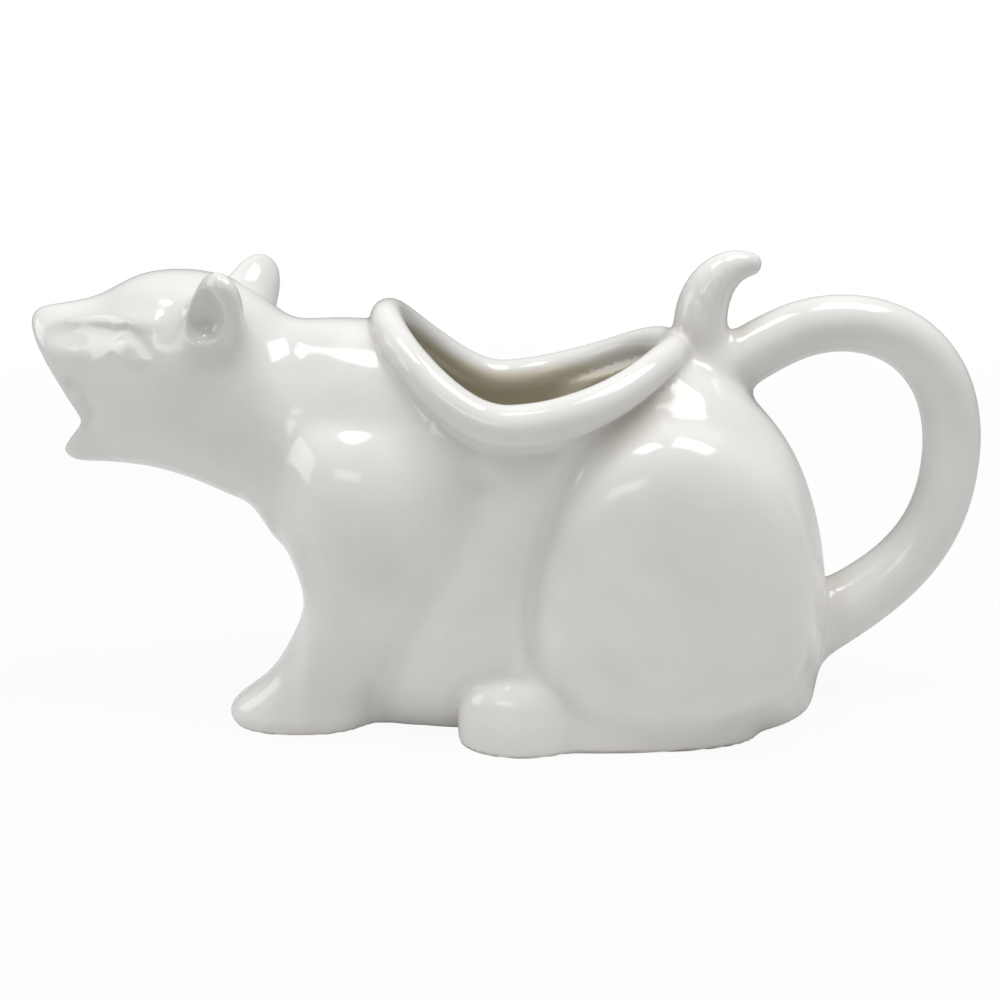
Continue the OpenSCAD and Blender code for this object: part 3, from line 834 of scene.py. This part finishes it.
def subdivide(p, quads, skin):
    """Parts each quad into four, and lays the new points of the free skin on the jug."""
    sides = np.stack([quads, np.roll(quads, -1, 1)], 2).reshape(-1, 2)
    edges, place = np.unique(np.sort(sides, 1), axis=0, return_inverse=True)
    place = place.reshape(-1, 4)
    free = np.ones(len(edges), bool)
    free[place[~skin].ravel()] = False
    fresh = np.concatenate([p[edges].mean(1), p[quads].mean(1)])
    loose = np.concatenate([free, skin])
    fresh[loose] = settle(fresh[loose], 2)[0]
    place = place + len(p)
    middle = len(p) + len(edges) + np.arange(len(quads))
    parts = [np.stack([quads[:, k], place[:, k], middle, place[:, k - 1]], 1) for k in range(4)]
    return np.concatenate([p, fresh]), np.concatenate(parts), np.tile(skin, 4)


def fanned(p, joint):
    """Joint quads as fans of triangles round a sunk point each, and the points with those added."""
    pits = len(p) + np.arange(len(joint))
    fans = np.concatenate([np.stack([joint[:, k - 1], joint[:, k], pits], 1) for k in range(4)])
    return np.concatenate([p, sink(p[joint].mean(1))]), fans


def fan_directions(p, fans):
    """Direction that each triangle of the fans faces."""
    a, b, c = [p[fans[:, k]] for k in range(3)]
    across = np.cross(b - a, c - a)
    return across / np.maximum(np.linalg.norm(across, axis=1), 1e-9)[:, None]


# Glaze: how far it feels for hollows, which get painted shade warm like pooled glaze, and for edges, the
# bare foot's height, and the depth of the painted shade with a warm tone inside
# Painted shade: hollows are darkened by how hemmed in the skin is within this reach
SHADE_AND_POOL_REACH = 4.5
EDGE_REACH = 1.2
BARE_Z, BARE_FADE = 0.7, 0.5
INSIDE_SHARE, INSIDE_FADE = 0.4, 0.4


def glaze_values(p, out):
    """Where hollows get painted shade warm like pooled glaze, where glaze thins, where it is left off, and
    where the cavity gets painted shade with a warm tone, as values from 0 to 1.
    """
    deep = -in_chunks(trunk, p) / WALL
    return {
        # Painted shade: high in hollows and creases, from how hemmed in the skin is along its direction
        "shade_and_pool": np.clip(1 - in_chunks(jug, p + out * SHADE_AND_POOL_REACH) / SHADE_AND_POOL_REACH, 0, 1),
        "thin": np.clip(1 + in_chunks(jug, p - out * EDGE_REACH) / EDGE_REACH, 0, 1),
        "bare": ease((BARE_Z - p[:, 2]) / BARE_FADE),
        # Painted shade: high on the cavity's walls, deep within the outer skin and above the floor
        "inside": ease((deep - INSIDE_SHARE) / INSIDE_FADE) * ease((p[:, 2] - 1) / 2)}


def add_piece(name, p, quads, skin, material):
    """One closed piece of glazed skin and hidden joint faces, with the values that its glaze reads."""
    outside = quads[skin]
    p, fans = fanned(p, quads[~skin])
    out = settle(p, 1)[1]
    normals = np.concatenate([out[outside.ravel()], np.repeat(fan_directions(p, fans), 3, 0)])
    mesh = bpy.data.meshes.new(name + "_skin")
    mesh.from_pydata((p * MM).tolist(), [], outside.tolist() + fans.tolist())
    mesh.polygons.foreach_set("use_smooth", np.ones(len(outside) + len(fans), bool))
    mesh.normals_split_custom_set(normals.tolist())
    for label, values in glaze_values(p, out).items():
        mesh.attributes.new(label, "FLOAT", "POINT").data.foreach_set("value", values)
    mesh.materials.append(material)
    piece = bpy.data.objects.new(name + "_glazed", mesh)
    bpy.context.scene.collection.objects.link(piece)
    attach(piece, "root")
    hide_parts(name)


# Colours of the glaze, of the painted shade in hollows and inside the cavity, and of bare clay, and the
# scale and detail of each noise
CLOUD_LOW, CLOUD_HIGH = (0.79, 0.78, 0.755), (0.84, 0.832, 0.81)
# Painted shade with a warm tone over the inside of the cavity
INSIDE_SHADE_AND_TONE = (0.74, 0.685, 0.55)
# Painted shade in hollows and creases, warm like pooled glaze
SHADE_AND_POOL_TINT = (0.65, 0.615, 0.545)
EDGE_TINT = (0.86, 0.84, 0.80)
BARE_CLAY = (0.72, 0.67, 0.60)
CLOUDS, GLOSS, RIPPLES = (70, 4), (240, 3), (45, 2)


def grey(level):
    return level, level, level


def noise(tree, place, scale, detail):
    """Procedural noise at places, from 0 to 1."""
    node = tree.nodes.new("ShaderNodeTexNoise")
    node.inputs["Scale"].default_value = scale
    node.inputs["Detail"].default_value = detail
    tree.links.new(place, node.inputs["Vector"])
    return node.outputs["Fac"]


def ramp(tree, factor, low, high):
    """Colour between two ends, each given as a factor and its colour."""
    node = tree.nodes.new("ShaderNodeValToRGB")
    for element, (at, colour) in zip(node.color_ramp.elements, (low, high)):
        element.position = at
        element.color = (*colour, 1)
    tree.links.new(factor, node.inputs["Fac"])
    return node.outputs["Color"]


def tint(tree, colour, mask, share, other):
    """Blends a colour towards another where a point value of the mesh is high."""
    value = tree.nodes.new("ShaderNodeAttribute")
    value.attribute_name = mask
    scaled = tree.nodes.new("ShaderNodeMath")
    scaled.operation = "MULTIPLY"
    scaled.inputs[1].default_value = share
    tree.links.new(value.outputs["Fac"], scaled.inputs[0])
    blend = tree.nodes.new("ShaderNodeMixRGB")
    blend.inputs["Color2"].default_value = (*other, 1)
    tree.links.new(scaled.outputs[0], blend.inputs["Fac"])
    tree.links.new(colour, blend.inputs["Color1"])
    return blend.outputs["Color"]


def glaze():
    """White gloss glaze: cloudy, with painted shade in hollows warm like pooled glaze and painted shade
    with a warm tone inside, thinner on edges, left off the foot.
    """
    material = bpy.data.materials.new("white_glaze")
    material.use_nodes = True
    tree = material.node_tree
    shader = tree.nodes["Principled BSDF"]
    place = tree.nodes.new("ShaderNodeTexCoord").outputs["Object"]
    colour = ramp(tree, noise(tree, place, *CLOUDS), (0.35, CLOUD_LOW), (0.65, CLOUD_HIGH))
    # Painted shade with a warm tone inside the cavity
    colour = tint(tree, colour, "inside", 1.0, INSIDE_SHADE_AND_TONE)
    # Painted shade in hollows and creases, warm like pooled glaze
    colour = tint(tree, colour, "shade_and_pool", 0.8, SHADE_AND_POOL_TINT)
    colour = tint(tree, colour, "thin", 0.35, EDGE_TINT)
    colour = tint(tree, colour, "bare", 1.0, BARE_CLAY)
    tree.links.new(colour, shader.inputs["Base Color"])
    gloss = ramp(tree, noise(tree, place, *GLOSS), (0.3, grey(0.08)), (0.7, grey(0.15)))
    gloss = tint(tree, gloss, "bare", 1.0, grey(0.8))
    tree.links.new(gloss, shader.inputs["Roughness"])
    shader.inputs["IOR"].default_value = 1.52
    ripple = tree.nodes.new("ShaderNodeBump")
    ripple.inputs["Strength"].default_value = 0.12
    ripple.inputs["Distance"].default_value = 0.0008
    tree.links.new(noise(tree, place, *RIPPLES), ripple.inputs["Height"])
    tree.links.new(ripple.outputs["Normal"], shader.inputs["Normal"])
    return material


# Pieces with fine relief, which get a finer mesh
FINE = ("head_spout", "left_ear", "right_ear")


def build_pieces():
    """Lays one mesh over the jug, smooths it on the skin and adds each owner's piece."""
    points, quads, owner, other = grid_pieces()
    skin = other == AIR
    on_skin = np.unique(quads[skin])
    for _ in range(RELAX_ROUNDS):
        points[on_skin] = relax(points, quads[skin], RELAX_SHARE)[on_skin]
        points[on_skin] = settle(points[on_skin], 1)[0]
    points[on_skin] = settle(points[on_skin], 2)[0]
    hidden = np.setdiff1d(np.unique(quads), on_skin)
    points[hidden] = sink(points[hidden])
    material = glaze()
    for k, name in enumerate(PIECES):
        mine = owner == k
        used, local = np.unique(quads[mine], return_inverse=True)
        p, faces, outside = points[used], local.reshape(-1, 4), skin[mine]
        if name in FINE:
            p, faces, outside = subdivide(p, faces, outside)
        add_piece(name, p, faces, outside, material)


build_pieces()

# Floor, light and camera, in metres and watts
FLOOR_HALF = 4.0


def floor_paint():
    """Pale paint that shows the camera the shadow near the jug and runs into the white surroundings."""
    material = bpy.data.materials.new("pale_floor")
    material.use_nodes = True
    tree = material.node_tree
    place = tree.nodes.new("ShaderNodeTexCoord")
    away = tree.nodes.new("ShaderNodeVectorMath")
    away.operation = "LENGTH"
    tree.links.new(place.outputs["Object"], away.inputs[0])
    away = away.outputs["Value"]
    shader = tree.nodes["Principled BSDF"]
    colour = ramp(tree, away, (0.1, grey(0.72)), (0.35, grey(0.38)))
    tree.links.new(colour, shader.inputs["Base Color"])
    shader.inputs["Roughness"].default_value = 0.9
    glow = tree.nodes.new("ShaderNodeEmission")
    glow.inputs["Color"].default_value = (1, 1, 1, 1)
    path = tree.nodes.new("ShaderNodeLightPath")
    share = tree.nodes.new("ShaderNodeMath")
    share.operation = "MULTIPLY"
    tree.links.new(path.outputs["Is Camera Ray"], share.inputs[0])
    tree.links.new(ramp(tree, away, (0.12, grey(0.93)), (0.5, grey(1.0))), share.inputs[1])
    blend = tree.nodes.new("ShaderNodeMixShader")
    tree.links.new(share.outputs[0], blend.inputs["Fac"])
    tree.links.new(shader.outputs[0], blend.inputs[1])
    tree.links.new(glow.outputs[0], blend.inputs[2])
    tree.links.new(blend.outputs[0], tree.nodes["Material Output"].inputs["Surface"])
    return material


def add_floor():
    """Level floor under the jug."""
    mesh = bpy.data.meshes.new("floor")
    corners = [(x * FLOOR_HALF, y * FLOOR_HALF, 0) for x, y in ((-1, -1), (1, -1), (1, 1), (-1, 1))]
    mesh.from_pydata(corners, [], [(0, 1, 2, 3)])
    floor = bpy.data.objects.new("floor", mesh)
    bpy.context.scene.collection.objects.link(floor)
    mesh.materials.append(floor_paint())


def add_world():
    """Surroundings that are brightest overhead and dimmer towards the floor, white for the camera."""
    world = bpy.data.worlds.new("studio")
    bpy.context.scene.world = world
    world.use_nodes = True
    tree = world.node_tree
    place = tree.nodes.new("ShaderNodeTexCoord")
    split = tree.nodes.new("ShaderNodeSeparateXYZ")
    tree.links.new(place.outputs["Generated"], split.inputs[0])
    back = tree.nodes["Background"]
    glow = ramp(tree, split.outputs["Z"], (0.0, grey(0.14)), (0.8, grey(0.62)))
    tree.links.new(glow, back.inputs["Color"])
    back.inputs["Strength"].default_value = 0.98
    white = tree.nodes.new("ShaderNodeBackground")
    white.inputs["Color"].default_value = (1, 1, 1, 1)
    white.inputs["Strength"].default_value = 1.0
    path = tree.nodes.new("ShaderNodeLightPath")
    blend = tree.nodes.new("ShaderNodeMixShader")
    tree.links.new(path.outputs["Is Camera Ray"], blend.inputs["Fac"])
    tree.links.new(back.outputs[0], blend.inputs[1])
    tree.links.new(white.outputs[0], blend.inputs[2])
    tree.links.new(blend.outputs[0], tree.nodes["World Output"].inputs["Surface"])


# Soft windows: name, place, point aimed at, width and height, power
LAMPS = (
    ("right_window", (0.3, -0.08, 0.85), (0, 0, 0.05), (0.4, 0.46), 3.6),
    ("left_window", (-0.22, -0.1, 0.88), (0, 0, 0.05), (0.26, 0.24), 1.5),
    ("left_side", (-0.85, -0.06, 0.36), (0, 0, 0.04), (0.5, 0.4), 1.5),
    ("front_window", (-0.34, -0.7, 0.44), (0, 0, 0.05), (0.34, 0.14), 0.4))


def add_lamp(name, place, aim, size, power):
    """One rectangular area lamp."""
    lamp = bpy.data.lights.new(name, "AREA")
    lamp.shape = "RECTANGLE"
    lamp.size, lamp.size_y = size
    lamp.energy = power
    holder = bpy.data.objects.new(name, lamp)
    holder.location = place
    holder.rotation_euler = (Vector(aim) - Vector(place)).to_track_quat("-Z", "Y").to_euler()
    bpy.context.scene.collection.objects.link(holder)


# Camera: point looked at, distance, height angle, and focal length as a share of the sensor's width
CAMERA_TARGET = Vector((-5.8, 0, 41.3)) * MM
CAMERA_AWAY = 246.0 * MM
CAMERA_RISE = math.radians(16)
FOCAL_SHARE = 1.231
SENSOR = 36


def add_camera():
    """Camera at the photo's viewing angle."""
    data = bpy.data.cameras.new("camera")
    data.sensor_width = SENSOR
    data.lens = FOCAL_SHARE * SENSOR
    data.clip_start = 0.01
    camera = bpy.data.objects.new("camera", data)
    away = Vector((0, -math.cos(CAMERA_RISE), math.sin(CAMERA_RISE))) * CAMERA_AWAY
    camera.location = CAMERA_TARGET + away
    camera.rotation_euler = (-away).to_track_quat("-Z", "Y").to_euler()
    bpy.context.scene.collection.objects.link(camera)
    bpy.context.scene.camera = camera


add_camera()
add_floor()
add_world()
for lamp_settings in LAMPS:
    add_lamp(*lamp_settings)
bpy.context.scene.view_settings.view_transform = "Standard"
